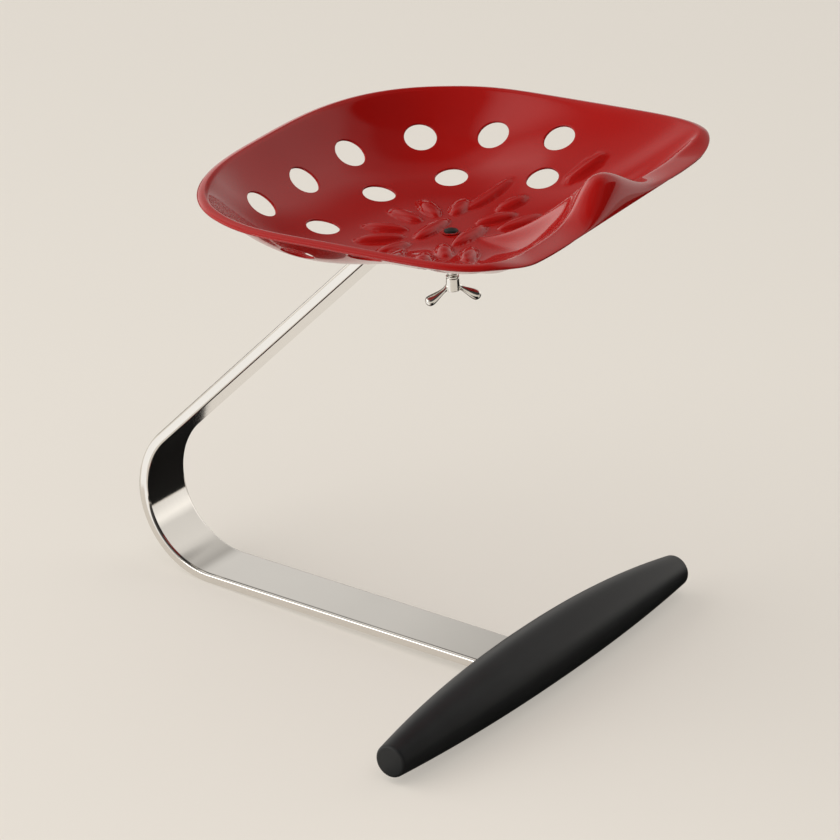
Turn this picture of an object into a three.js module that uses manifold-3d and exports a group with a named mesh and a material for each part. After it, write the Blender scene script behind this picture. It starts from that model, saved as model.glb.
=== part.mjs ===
// Tractor seat stool: a pressed steel bucket seat bolted to a springy bent bar, with a turned crossbar in front.
// Millimetres, +Z up, +Y towards the bend behind the sitter. The origin is on the floor, under the middle.
import * as THREE from "three";
import Module from "manifold-3d";
import { mergeVertices } from "three/addons/utils/BufferGeometryUtils.js";

const wasm = await Module();
wasm.setup();

// Gaps, overrun of a cutting body past the face it cuts, and how finely round things are divided
const contactGap = 0.3;
const runningGap = 0.3;
const cutOverrun = 2;
const weldTolerance = 1e-3;
const roundSteps = 24;
const fineSteps = 40;

// Stem: one flat bar, bent up and back over the floor and bent again to lie flat under the seat
const stemWidth = 61.5;
const stemThickness = 10.7;
const stemEdgeRadius = 1.3;
const bendRadius = 80;
const bendDistance = 366.5; // from the crossbar's axis to the centre of the bend
const lowerSlope = 1.8; // degrees that the lower run falls towards the bend
const tongueReach = 69.3; // from the bolt back to the corner where the upper run would meet the tongue
const tongueBendRadius = 40;
const stemTenon = 14; // how far the bar reaches past the crossbar's axis
const bendSteps = 32;
const tongueBendSteps = 6;

// Crossbar: a turned spindle, thickest in the middle, whose ends droop a little
const crossbarLength = 490;
const crossbarMiddleRadius = 30.4;
const crossbarEndRadius = 15.8;
const crossbarEndDrop = 7.6; // how far the end centres lie below the middle's centre
const crossbarTaperPower = 2.16;
const crossbarEdgeRadius = 2.6;
const crossbarFlatDepth = 0.5; // planed off the underside so that it stands without rocking
const crossbarStations = 20;

// Screws up through the crossbar into the bar's end
const screwEdgeDistance = 13.75; // from the side of the bar to each screw's axis
const screwRadius = 2.6;
const screwHeadRadius = 5.2;
const screwHeadHeight = 2.8;
const screwLength = 38;
const screwTipLength = 7;
const screwSocketRadius = 1.6;
const screwSocketDepth = 1.8;

// Where the seat's bolt meets the pan, and how the pan sits
const boltDistance = 119.6; // behind the crossbar's axis
const seatHeight = 431.2;
const seatTilt = 5; // degrees, the back lower than the front
const seatSwivel = 3.35; // degrees, as it was left standing

// Seat pan, measured from the bolt's axis
const panThickness = 2.2;
const panBackReach = 204.5;
const panFrontReach = 183.7;
const panBackHalfWidth = 221.7;
const panFrontHalfWidth = 221.1;
const panBackPower = 2.86; // 2 is an ellipse, and more is squarer
const panFrontPower = 6.1;
const rimHeight = 63.1;
const rimBackRise = 2.2;
const rimSideRise = 0.7;
const rimRollWidth = 7.8;
const rimRollDrop = 3.8;
const frontRollWidth = 23.9;
const frontEdgeHeight = 54;
const thighChannelHeight = 54.8;
const pommelRise = 28.3;
const pommelHalfWidth = 48;
const bossRadius = 23.8; // the flat round the bolt
const panBoreRadius = 2.5;

// How the wall climbs from the boss to the rim: the power along each direction, and the shoulder under the rim
const backWallPower = 4.11;
const sideWallPower = 2.24;
const pommelPower = 1.65;
const channelPower = 3;
const shoulderPower = 1.12;
const backWallStart_share = -0.2; // cosine of the direction where the side wall starts to turn into the back wall
const backWallFull_share = 0.63;
const frontStart_share = -0.62; // and the same for the front edge
const frontFull_share = -0.77;
const probe_share = 1e-3;

// How finely the pan is divided
const panRays = 78;
const panRings = 14;
const panRollRings = 3;
const cornerGather_share = 0.05; // how far the rays are drawn towards the pan's four corners
const innerRing_share = 0.6; // ring spacing at the boss, as a share of the mean spacing

// Round holes pressed through the pan: angle from the back in degrees, and place between the bolt and the rim's crest
const holeRadius = 15.5;
const holeSteps = 24;
const holeMiddle = { angle: 0, out_share: 0.806 };
const holePairs = [
  { angle: 26.3, out_share: 0.82 },
  { angle: 50.5, out_share: 0.82 },
  { angle: 72.2, out_share: 0.816 },
  { angle: 95.4, out_share: 0.811 },
  { angle: 24.6, out_share: 0.559 },
  { angle: 59.4, out_share: 0.579 },
  { angle: 101.9, out_share: 0.576 },
];

// Leaf-shaped stiffening beads pressed round the boss. Places and half lengths are shares of the beaded field's radius.
const beadField = 100;
const beadHeight = 4.2;
const beadHalfWidth = 9.2;
const beadRunUp = 5; // how far from the washer's seat the beads reach their full height
const beadTable_shares = [
  { across: 0.18, back: 0.6, turn: 17, half: 0.22 },
  { across: 0.44, back: 0.5, turn: 41, half: 0.24 },
  { across: 0.6, back: 0.26, turn: 76, half: 0.21 },
  { across: 0.9, back: 0.12, turn: 99, half: 0.33 },
  { across: 0.47, back: -0.21, turn: 124, half: 0.21 },
  { across: 0.79, back: -0.19, turn: 112, half: 0.18 },
  { across: 0.46, back: -0.47, turn: 117, half: 0.24 },
  { across: 1.38, back: -0.65, turn: 116, half: 0.24 },
];
const beadCentre_shares = [
  { across: 0, back: 0.2, turn: 90, half: 0.29 },
  { across: 0, back: -0.2, turn: 90, half: 0.29 },
];

// Seat bolt: a domed head on a square neck that keys into the pan, and a threaded shank
const boltRadius = 5;
const boltHeadRadius = 7.6;
const boltHeadHeight = 2.4;
const boltHeadRim = 0.7;
const boltNeckSide = 10;
const boltEndChamfer = 1;

// Fibre washer under the bolt's head, rubber buffer under the pan, and the flanged bush in the tongue
const headWasherRadius = 8.4;
const headWasherThickness = 1;
const bufferRadius = 24;
const bufferThickness = 9;
const bufferEdgeRadius = 2;
const bushFlangeRadius = 14;
const bushFlangeThickness = 1.6;
const bushWall = 2;

// Wing nut, run down the stud as it stands, and the thin washer that rides on it
const nutDepth = 42.3; // top of the nut's washer below the pan's upper face
const nutWasherRadius = 6.2;
const nutWasherThickness = 1;
const nutHeight = 13;
const nutTopRadius = 6.3;
const nutFootRadius = 6.6;
const wingReach = 22;
const wingDrop = 14; // from the middle of the hub down to the middle of each tip
const wingTipRadius = 5.1;
const wingNeckRadius = 2.5;
const wingNeck_share = 0.36; // place of the neck between the hub's axis and the tip
const wingRootRadius = 5;
const wingTurn = -42; // degrees, as it was left standing

const deg = Math.PI / 180;

// Materials
const redLacquer = new THREE.MeshStandardMaterial({ color: 0xa0130f, roughness: 0.18, metalness: 0 });
const nickel = new THREE.MeshStandardMaterial({ color: 0xc9c4bc, roughness: 0.12, metalness: 1 });
const blackPaint = new THREE.MeshStandardMaterial({ color: 0x161718, roughness: 0.45, metalness: 0 });
const blackSteel = new THREE.MeshStandardMaterial({ color: 0x1b1a19, roughness: 0.4, metalness: 0.6 });
const darkRubber = new THREE.MeshStandardMaterial({ color: 0x202020, roughness: 0.85, metalness: 0 });
const paleNylon = new THREE.MeshStandardMaterial({ color: 0xe8e4d8, roughness: 0.5, metalness: 0 });

// Closed geometry and solids that can be joined and cut
function solidOf(geometry) {
  const bare = geometry.index ? geometry.toNonIndexed() : geometry.clone();
  bare.deleteAttribute("normal");
  bare.deleteAttribute("uv");
  const merged = mergeVertices(bare, weldTolerance);
  return new wasm.Manifold(
    new wasm.Mesh({
      numProp: 3,
      vertProperties: merged.attributes.position.array,
      triVerts: new Uint32Array(merged.index.array),
    }),
  );
}

function geometryOf(solid) {
  const made = solid.getMesh();
  const places = new Float32Array(made.numVert * 3);
  for (let i = 0; i < made.numVert; i++)
    places.set(made.vertProperties.subarray(i * made.numProp, i * made.numProp + 3), i * 3);
  const geometry = new THREE.BufferGeometry();
  geometry.setAttribute("position", new THREE.BufferAttribute(places, 3));
  geometry.setIndex(new THREE.BufferAttribute(new Uint32Array(made.triVerts), 1));
  geometry.computeVertexNormals();
  return geometry;
}

const cut = (solid, tools) => tools.reduce((rest, tool) => rest.subtract(tool), solid);
const join = (solids) => solids.reduce((whole, next) => whole.add(next));

function meshOf(name, solid, material) {
  const mesh = new THREE.Mesh(geometryOf(solid), material);
  mesh.name = name;
  return mesh;
}

// A revolved solid about Z. The profile is a list of [radius, height] from the bottom of the axis to the top.
function turned(profile, steps = roundSteps) {
  const points = profile.map(([radius, height]) => new THREE.Vector2(radius, height));
  return new THREE.LatheGeometry(points, steps).rotateX(Math.PI / 2);
}

// A revolved ring about Z, whose profile is a closed loop that keeps off the axis
const ring = (inner, outer, low, high, steps = roundSteps) =>
  turned([[inner, low], [outer, low], [outer, high], [inner, high], [inner, low]], steps);

const cylinder = (radius, low, high, steps = roundSteps) =>
  turned([[0, low], [radius, low], [radius, high], [0, high]], steps);

// Points of a quarter round from angle `from` to angle `to` in degrees, about a centre
function roundCorner(radius, x, y, from, to, steps = 3) {
  const points = [];
  for (let i = 0; i <= steps; i++) {
    const angle = (from + ((to - from) * i) / steps) * deg;
    points.push([x + radius * Math.cos(angle), y + radius * Math.sin(angle)]);
  }
  return points;
}

// Stem. Its centre line lies in the YZ plane, as [y, z, heading in radians] at each station.
const panUnderside = panThickness + contactGap;
const tongueTop = panUnderside + bufferThickness + contactGap + bushFlangeThickness + contactGap;
const tongueMiddle = tongueTop + stemThickness / 2;
const tongueBottom = tongueTop + stemThickness;
const tongueEndRadius = stemWidth / 2;

function seatPoint(back, up) {
  const tilt = seatTilt * deg;
  return [
    boltDistance + back * Math.cos(tilt) + up * Math.sin(tilt),
    seatHeight - back * Math.sin(tilt) + up * Math.cos(tilt),
  ];
}

function arcStations(centreY, centreZ, radius, from, to, side, steps) {
  const stations = [];
  for (let i = 0; i <= steps; i++) {
    const heading = from + ((to - from) * i) / steps;
    stations.push([
      centreY + side * radius * Math.sin(heading),
      centreZ - side * radius * Math.cos(heading),
      heading,
    ]);
  }
  return stations;
}

function stemStations() {
  const slope = -lowerSlope * deg;
  const flat = Math.PI - seatTilt * deg;
  const bendZ = bendRadius + stemThickness / 2;
  // The upper run leaves the bend at the heading that takes it through the corner behind the seat's bolt.
  const [cornerY, cornerZ] = seatPoint(tongueReach, -tongueMiddle);
  const cornerDistance = Math.hypot(cornerY - bendDistance, cornerZ - bendZ);
  const rise = Math.atan2(cornerZ - bendZ, cornerY - bendDistance) + Math.asin(bendRadius / cornerDistance);
  const bend = [
    ...arcStations(bendDistance, bendZ, bendRadius, slope, 0, 1, 1),
    ...arcStations(bendDistance, bendZ, bendRadius, 0, rise, 1, bendSteps).slice(1),
  ];
  const [firstY, firstZ] = bend[0];
  const start = [-stemTenon, firstZ - (firstY + stemTenon) * Math.tan(slope), slope];
  // The second bend rounds that corner off.
  const setBack = tongueBendRadius * Math.tan((flat - rise) / 2);
  const fromY = cornerY - setBack * Math.cos(rise);
  const fromZ = cornerZ - setBack * Math.sin(rise);
  const centreY = fromY - tongueBendRadius * Math.sin(rise);
  const centreZ = fromZ + tongueBendRadius * Math.cos(rise);
  const tongueBend = arcStations(centreY, centreZ, tongueBendRadius, rise, flat, 1, tongueBendSteps);
  const [endY, endZ] = seatPoint(-tongueEndRadius, -tongueMiddle);
  return [start, ...bend, ...tongueBend, [endY, endZ, flat]];
}

// The bar's outline seen from the side, extruded across with its long edges rounded
function bentBar(stations) {
  const side = (distance) =>
    stations.map(
      ([y, z, heading]) =>
        new THREE.Vector2(y + distance * Math.sin(heading), z - distance * Math.cos(heading)),
    );
  const outline = [...side(stemThickness / 2), ...side(-stemThickness / 2).reverse()];
  const geometry = new THREE.ExtrudeGeometry(new THREE.Shape(outline), {
    depth: stemWidth - stemEdgeRadius * 2,
    bevelEnabled: true,
    bevelThickness: stemEdgeRadius,
    bevelSize: stemEdgeRadius,
    bevelOffset: -stemEdgeRadius,
    bevelSegments: 2,
    steps: 1,
  });
  geometry.translate(0, 0, stemEdgeRadius - stemWidth / 2);
  const across = new THREE.Vector3(1, 0, 0);
  const back = new THREE.Vector3(0, 1, 0);
  const up = new THREE.Vector3(0, 0, 1);
  return geometry.applyMatrix4(new THREE.Matrix4().makeBasis(back, up, across));
}

// Places a body made about the bolt's axis into the stool
const toSeat = (swivel) =>
  new THREE.Matrix4()
    .makeTranslation(0, boltDistance, seatHeight)
    .multiply(new THREE.Matrix4().makeRotationX(-seatTilt * deg))
    .multiply(new THREE.Matrix4().makeRotationZ(swivel * deg));

const bushSleeveRadius = boltRadius + runningGap + bushWall;

function stemSolid() {
  const bar = solidOf(bentBar(stemStations()));
  const high = -tongueTop + cutOverrun;
  const low = -tongueBottom - cutOverrun;
  const half = stemWidth / 2 + cutOverrun;
  const block = new THREE.BoxGeometry(half * 2, tongueEndRadius + cutOverrun, high - low);
  block.translate(0, -(tongueEndRadius + cutOverrun) / 2, (high + low) / 2);
  const corners = solidOf(block).subtract(solidOf(cylinder(tongueEndRadius, low - cutOverrun, high + cutOverrun, fineSteps)));
  const hole = solidOf(cylinder(bushSleeveRadius + contactGap, low, high));
  const place = (solid) => solidOf(geometryOf(solid).applyMatrix4(toSeat(0)));
  return cut(bar, [place(corners), place(hole), ...screwHoles(screwRadius + runningGap)]);
}

// Crossbar
const crossbarShare = (x) => Math.pow(Math.abs(x) / (crossbarLength / 2), crossbarTaperPower);
const crossbarRadius = (x) =>
  crossbarMiddleRadius + (crossbarEndRadius - crossbarMiddleRadius) * crossbarShare(x);
const crossbarCentre = (x) => crossbarMiddleRadius - crossbarFlatDepth - crossbarEndDrop * crossbarShare(x);

function crossbarSolid() {
  const half = crossbarLength / 2;
  const shoulder = half - crossbarEdgeRadius;
  const profile = [[0, -half]];
  const endRound = roundCorner(crossbarEdgeRadius, crossbarRadius(shoulder) - crossbarEdgeRadius, shoulder, 0, 90);
  endRound.toReversed().forEach(([radius, x]) => profile.push([radius, -x]));
  for (let i = 1; i < crossbarStations; i++) {
    const x = shoulder * ((2 * i) / crossbarStations - 1);
    profile.push([crossbarRadius(x), x]);
  }
  profile.push(...endRound, [0, half]);
  // The lathe turns about Z, so the spindle is laid along X and its ends are let down.
  const spindle = turned(profile).rotateY(Math.PI / 2);
  const places = spindle.attributes.position;
  for (let i = 0; i < places.count; i++)
    places.setZ(i, places.getZ(i) + crossbarCentre(places.getX(i)));
  const planed = new THREE.BoxGeometry(crossbarLength, crossbarLength, crossbarMiddleRadius);
  planed.translate(0, 0, -crossbarMiddleRadius / 2);
  return cut(solidOf(spindle), [solidOf(planed), mortise(), ...screwHoles(screwRadius, true)]);
}

// The slot that the bar's end fits, from its blind end out through the back of the crossbar
function mortise() {
  const [tenon, bendStart] = stemStations();
  const reach = crossbarMiddleRadius + stemTenon + cutOverrun;
  const slot = new THREE.BoxGeometry(stemWidth + contactGap * 2, reach, stemThickness + contactGap * 2);
  slot.translate(0, reach / 2 - contactGap, 0);
  slot.rotateX(Math.atan2(bendStart[1] - tenon[1], bendStart[0] - tenon[0]));
  slot.translate(0, tenon[0], tenon[1]);
  return solidOf(slot);
}

// Screws
const screwPlaces = [screwEdgeDistance - stemWidth / 2, stemWidth / 2 - screwEdgeDistance];

function screwHoles(radius, countersunk = false) {
  const top = screwLength + runningGap;
  const wide = screwHeadRadius + runningGap;
  const hole = countersunk
    ? turned([[0, -cutOverrun], [wide, -cutOverrun], [wide, runningGap],
        [radius + runningGap, screwHeadHeight + runningGap], [radius + runningGap, top], [0, top]])
    : cylinder(radius, -cutOverrun, top);
  return screwPlaces.map((x) => solidOf(hole.clone().translate(x, 0, 0)));
}

function screwSolid() {
  const shankTop = screwLength - screwTipLength;
  const body = turned([
    [0, contactGap],
    [screwHeadRadius, contactGap],
    [screwRadius, screwHeadHeight],
    [screwRadius, shankTop],
    [0, screwLength],
  ]);
  const socket = new THREE.CylinderGeometry(screwSocketRadius, screwSocketRadius, screwSocketDepth * 2, 6);
  socket.rotateX(Math.PI / 2).translate(0, 0, contactGap);
  return solidOf(body).subtract(solidOf(socket));
}

const washerSeatRadius = headWasherRadius + contactGap;

// Seat pan. Directions are angles from the back about the bolt, and `out` runs 0 at the bore, 1 at the rim's crest
// and 2 at the rolled edge.
const smooth = (x) => {
  const t = Math.min(Math.max(x, 0), 1);
  return t * t * (3 - 2 * t);
};

function panSection(angle) {
  const across = Math.abs(Math.sin(angle));
  const back = Math.cos(angle);
  const turn = smooth(0.5 - 0.9 * back);
  const power = panBackPower + (panFrontPower - panBackPower) * turn;
  const halfWidth = panBackHalfWidth + (panFrontHalfWidth - panBackHalfWidth) * turn;
  const reach = back > 0 ? panBackReach : panFrontReach;
  const edge = ((across / halfWidth) ** power + (Math.abs(back) / reach) ** power) ** (-1 / power);
  const front = smooth((back - frontStart_share) / (frontFull_share - frontStart_share));
  const pommel = Math.exp(-((edge * Math.sin(angle)) ** 2) / pommelHalfWidth ** 2);
  const rim = rimHeight + rimBackRise * smooth(2 * back - 1) + rimSideRise * across ** 4;
  const crestHeight = rim + front * (thighChannelHeight - rim + pommelRise * pommel);
  const edgeHeight = rim - rimRollDrop + front * (frontEdgeHeight - rim + rimRollDrop);
  const rollWidth = rimRollWidth + front * (frontRollWidth - rimRollWidth);
  const wall = smooth((back - backWallStart_share) / (backWallFull_share - backWallStart_share));
  const frontPower = pommelPower * pommel + channelPower * (1 - pommel);
  const wallPower = sideWallPower + (backWallPower - sideWallPower) * wall + (frontPower - sideWallPower) * front;
  return { crest: edge - rollWidth, crestHeight, edgeHeight, rollWidth, wallPower };
}

function leafHeight(x, y, leaf) {
  const along = leaf.turn * deg;
  const dx = x - leaf.across * beadField;
  const dy = y - leaf.back * beadField;
  const lengthwise = (dx * Math.sin(along) + dy * Math.cos(along)) / (leaf.half * beadField);
  const crosswise = (dx * Math.cos(along) - dy * Math.sin(along)) / beadHalfWidth;
  const inside = 1 - lengthwise ** 2 - crosswise ** 2;
  return inside > 0 ? beadHeight * inside ** 0.7 : 0;
}

function beadsAt(x, y) {
  const heights = beadTable_shares.map((leaf) => leafHeight(Math.abs(x), y, leaf));
  beadCentre_shares.forEach((leaf) => heights.push(leafHeight(x, y, leaf)));
  return Math.max(...heights);
}

function panTop(angle, out) {
  const { crest, crestHeight, edgeHeight, rollWidth, wallPower } = panSection(angle);
  const inward = Math.min(out, 1);
  const roll = Math.max(out - 1, 0) * (Math.PI / 2);
  const radius = panBoreRadius + (crest - panBoreRadius) * inward;
  const climb = Math.max(radius - bossRadius, 0) / (crest - bossRadius);
  const wall = crestHeight * (1 - Math.max(1 - climb ** wallPower, 0) ** shoulderPower);
  const x = radius * Math.sin(angle);
  const y = radius * Math.cos(angle);
  const beads = beadsAt(x, y) * smooth((radius - washerSeatRadius) / beadRunUp);
  const height = wall + beads - (crestHeight - edgeHeight) * (1 - Math.cos(roll));
  const reach = radius + rollWidth * Math.sin(roll);
  return new THREE.Vector3(reach * Math.sin(angle), reach * Math.cos(angle), height);
}

function panNormal(angle, out) {
  const around = panTop(angle - probe_share, out).sub(panTop(angle + probe_share, out));
  const outward = panTop(angle, out + probe_share).sub(panTop(angle, out - probe_share));
  return outward.cross(around).normalize();
}

// Ring places along a ray: the bore, the seat of the washer, then closer together over the beads than up the wall,
// and last round the rolled edge
function panRingPlaces(angle) {
  const first = (washerSeatRadius - panBoreRadius) / (panSection(angle).crest - panBoreRadius);
  const places = [0];
  for (let i = 0; i <= panRings; i++) {
    const share = i / panRings;
    places.push(first + (1 - first) * share * (innerRing_share + (1 - innerRing_share) * share));
  }
  for (let i = 1; i <= panRollRings; i++) places.push(1 + i / panRollRings);
  return places;
}

// Each ray is a closed loop: out along the upper face and back along the underside
function panShell() {
  const loop = panRingPlaces(0).length * 2;
  const places = [];
  for (let ray = 0; ray < panRays; ray++) {
    const even = (ray / panRays) * 2 * Math.PI;
    const angle = even + cornerGather_share * Math.sin(4 * even);
    const outs = panRingPlaces(angle);
    const top = outs.map((out) => panTop(angle, out));
    const under = outs.map((out, i) => top[i].clone().addScaledVector(panNormal(angle, out), -panThickness));
    places.push(...top, ...under.reverse());
  }
  const triangles = [];
  for (let ray = 0; ray < panRays; ray++) {
    for (let i = 0; i < loop; i++) {
      const here = ray * loop;
      const next = ((ray + 1) % panRays) * loop;
      const j = (i + 1) % loop;
      triangles.push(here + i, next + i, next + j, here + i, next + j, here + j);
    }
  }
  const geometry = new THREE.BufferGeometry();
  geometry.setAttribute("position", new THREE.Float32BufferAttribute(places.flatMap((p) => p.toArray()), 3));
  geometry.setIndex(triangles);
  return geometry;
}

// A punch square to the pan's face at a hole's centre
function holePunch(angle, out_share) {
  const centre = panTop(angle * deg, out_share);
  const along = panNormal(angle * deg, out_share);
  const reach = holeRadius + panThickness;
  const punch = cylinder(holeRadius, -reach, reach, holeSteps);
  const turn = new THREE.Quaternion().setFromUnitVectors(new THREE.Vector3(0, 0, 1), along);
  return solidOf(punch.applyQuaternion(turn).translate(centre.x, centre.y, centre.z));
}

function panSolid() {
  const punches = [holePunch(holeMiddle.angle, holeMiddle.out_share)];
  holePairs.forEach(({ angle, out_share }) => punches.push(holePunch(angle, out_share), holePunch(-angle, out_share)));
  const side = boltNeckSide + runningGap * 2;
  const neckHole = new THREE.BoxGeometry(side, side, (panThickness + cutOverrun) * 2);
  return cut(solidOf(panShell()), [...punches, solidOf(neckHole)]);
}

// Seat bolt and what it clamps
const nutTop = -nutDepth - nutWasherThickness - contactGap;
const nutFoot = nutTop - nutHeight;
const boltEnd = nutFoot + boltEndChamfer;
const headSeat = headWasherThickness + contactGap * 2;

function boltSolid() {
  const domeRadius = (boltHeadRadius ** 2 + (boltHeadHeight - boltHeadRim) ** 2) / (2 * (boltHeadHeight - boltHeadRim));
  const domeAngle = Math.asin(boltHeadRadius / domeRadius) / deg;
  const dome = roundCorner(domeRadius, 0, headSeat + boltHeadHeight - domeRadius, 90 - domeAngle, 90, 5);
  dome[dome.length - 1][0] = 0;
  const body = turned([
    [0, boltEnd],
    [boltRadius - boltEndChamfer, boltEnd],
    [boltRadius, boltEnd + boltEndChamfer],
    [boltRadius, headSeat],
    [boltHeadRadius, headSeat],
    ...dome,
  ]);
  const neckLength = headSeat + panThickness;
  const neck = new THREE.BoxGeometry(boltNeckSide, boltNeckSide, neckLength);
  neck.translate(0, 0, headSeat - neckLength / 2);
  return solidOf(body).add(solidOf(neck));
}

function headWasherSolid() {
  const inner = boltNeckSide * Math.SQRT1_2 + contactGap;
  return solidOf(ring(inner, headWasherRadius, contactGap, contactGap + headWasherThickness));
}

function bufferSolid() {
  const top = -panUnderside;
  const foot = top - bufferThickness;
  const inner = boltNeckSide * Math.SQRT1_2 + contactGap;
  const middle = bufferRadius - bufferEdgeRadius;
  return solidOf(
    turned([
      [inner, foot],
      ...roundCorner(bufferEdgeRadius, middle, foot + bufferEdgeRadius, -90, 0),
      ...roundCorner(bufferEdgeRadius, middle, top - bufferEdgeRadius, 0, 90),
      [inner, top],
      [inner, foot],
    ]),
  );
}

function bushSolid() {
  const bore = boltRadius + runningGap;
  const top = -tongueTop + contactGap + bushFlangeThickness;
  const seat = -tongueTop + contactGap;
  return solidOf(
    turned([
      [bore, -tongueBottom],
      [bushSleeveRadius, -tongueBottom],
      [bushSleeveRadius, seat],
      [bushFlangeRadius, seat],
      [bushFlangeRadius, top],
      [bore, top],
      [bore, -tongueBottom],
    ]),
  );
}

const nutWasherSolid = () =>
  solidOf(ring(boltRadius + runningGap, nutWasherRadius, -nutDepth - nutWasherThickness, -nutDepth));

// A wing is a drop: a root inside the hub, a slim neck and a round tip
function wingSolid() {
  const length = Math.hypot(wingReach, wingDrop);
  const neck = length * wingNeck_share;
  const profile = [[0, 0], [wingRootRadius, 0]];
  const steps = 5;
  for (let i = 1; i <= steps; i++) {
    const share = i / steps;
    profile.push([wingRootRadius + (wingNeckRadius - wingRootRadius) * smooth(share), neck * share]);
  }
  for (let i = 1; i < steps; i++) {
    const share = i / steps;
    profile.push([wingNeckRadius + (wingTipRadius - wingNeckRadius) * smooth(share), neck + (length - neck) * share]);
  }
  profile.push(...roundCorner(wingTipRadius, 0, length, 0, 90, 5));
  profile[profile.length - 1][0] = 0;
  const drop = turned(profile, roundSteps / 2);
  return drop.rotateY(Math.PI / 2 + Math.atan2(wingDrop, wingReach)).translate(0, 0, nutTop - nutHeight / 2);
}

function wingNutSolid() {
  const hub = turned([
    [0, nutFoot],
    [nutFootRadius, nutFoot],
    [nutTopRadius, nutTop],
    [0, nutTop],
  ]);
  const wings = [0, Math.PI].map((turn) => solidOf(wingSolid().rotateZ(turn + wingTurn * deg)));
  const bore = solidOf(cylinder(boltRadius + runningGap, nutFoot - nutHeight, nutTop + cutOverrun));
  return join([solidOf(hub), ...wings]).subtract(bore);
}

// Scene graph
const seat = new THREE.Group();
seat.add(
  meshOf("seat_pan", panSolid(), redLacquer),
  meshOf("seat_bolt", boltSolid(), blackSteel),
  meshOf("head_washer", headWasherSolid(), darkRubber),
  meshOf("rubber_buffer", bufferSolid(), darkRubber),
  meshOf("nut_washer", nutWasherSolid(), nickel),
  meshOf("wing_nut", wingNutSolid(), nickel),
);
seat.applyMatrix4(toSeat(seatSwivel));

const bush = meshOf("pivot_bush", bushSolid(), paleNylon);
bush.applyMatrix4(toSeat(0));

const stool = new THREE.Group();
stool.add(seat, bush, meshOf("stem", stemSolid(), nickel), meshOf("crossbar", crossbarSolid(), blackPaint));
["left", "right"].forEach((side, i) => {
  const screw = meshOf("crossbar_screw_" + side, screwSolid(), blackSteel);
  screw.position.x = screwPlaces[i];
  stool.add(screw);
});

// The middle of the whole stool comes over the origin, with its lowest point on the floor.
const bounds = new THREE.Box3().setFromObject(stool, true);
const middle = bounds.getCenter(new THREE.Vector3());
stool.position.set(-middle.x, -middle.y, -bounds.min.z);

export default stool;
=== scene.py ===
"""Looks of the tractor seat stool: lacquered seat, polished bent bar, black turned crossbar and cast wing nut.

Metres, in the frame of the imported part. Each operator makes one piece or group of pieces.
"""

from math import asin, atan2, cos, hypot, pi, radians, sin

import bmesh
import bpy
import numpy as np
from bpy.props import FloatProperty, FloatVectorProperty, PointerProperty
from bpy.types import Operator, Panel, PropertyGroup
from mathutils import Matrix, Vector
from mathutils.geometry import delaunay_2d_cdt


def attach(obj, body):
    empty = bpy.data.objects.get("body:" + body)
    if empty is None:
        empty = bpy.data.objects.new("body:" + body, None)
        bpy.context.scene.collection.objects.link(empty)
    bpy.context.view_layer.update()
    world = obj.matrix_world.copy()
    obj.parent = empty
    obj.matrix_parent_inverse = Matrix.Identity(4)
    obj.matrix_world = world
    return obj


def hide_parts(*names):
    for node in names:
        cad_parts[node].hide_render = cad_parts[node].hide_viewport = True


bl_info = {
    "name": "Tractor seat stool",
    "version": (1, 0, 0),
    "blender": (4, 5, 0),
    "location": "View3D > Sidebar > Stool",
    "description": "Makes the pieces of a tractor seat stool and the studio it stands in",
    "category": "Object",
}

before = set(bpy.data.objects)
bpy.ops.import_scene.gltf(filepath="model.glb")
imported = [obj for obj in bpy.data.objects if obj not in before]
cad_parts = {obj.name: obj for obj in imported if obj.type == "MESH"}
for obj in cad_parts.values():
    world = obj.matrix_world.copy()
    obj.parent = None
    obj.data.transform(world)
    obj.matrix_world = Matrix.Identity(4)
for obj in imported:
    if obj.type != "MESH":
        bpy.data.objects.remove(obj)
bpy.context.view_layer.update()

# Where the seat's bolt meets the pan, how the seat leans and how it was left turned
BOLT = Vector((0.0, -0.07396, 0.4312))
SEAT_TILT = radians(5.0)
SEAT_SWIVEL = radians(3.35)


def seat_matrix(swivel=SEAT_SWIVEL):
    """Takes a place measured from the bolt's axis on the pan to its place in the stool."""
    return Matrix.Translation(BOLT) @ Matrix.Rotation(-SEAT_TILT, 4, "X") @ Matrix.Rotation(swivel, 4, "Z")


# Node trees


def maths(operation, swapped=False):
    """A method that runs a Math node on a socket and other values, or on these in the other order."""

    def method(self, *others):
        values = dict(enumerate((self, *others)[:: -1 if swapped else 1]))
        return self.graph.add("ShaderNodeMath", values, operation=operation)

    return method


class Socket:
    """One output of a node. Arithmetic on it adds the Math nodes."""

    def __init__(self, graph, socket):
        self.graph = graph
        self.socket = socket

    def other(self, name):
        """Another output of the same node."""
        return Socket(self.graph, self.socket.node.outputs[name])

    __add__ = __radd__ = maths("ADD")
    __mul__ = __rmul__ = maths("MULTIPLY")
    __sub__, __rsub__ = maths("SUBTRACT"), maths("SUBTRACT", swapped=True)
    __truediv__, __rtruediv__ = maths("DIVIDE"), maths("DIVIDE", swapped=True)
    __pow__, __rpow__ = maths("POWER"), maths("POWER", swapped=True)
    __gt__ = maths("GREATER_THAN")
    __abs__ = maths("ABSOLUTE")
    at_least, at_most = maths("MAXIMUM"), maths("MINIMUM")
    sine, root = maths("SINE"), maths("SQRT")


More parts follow.
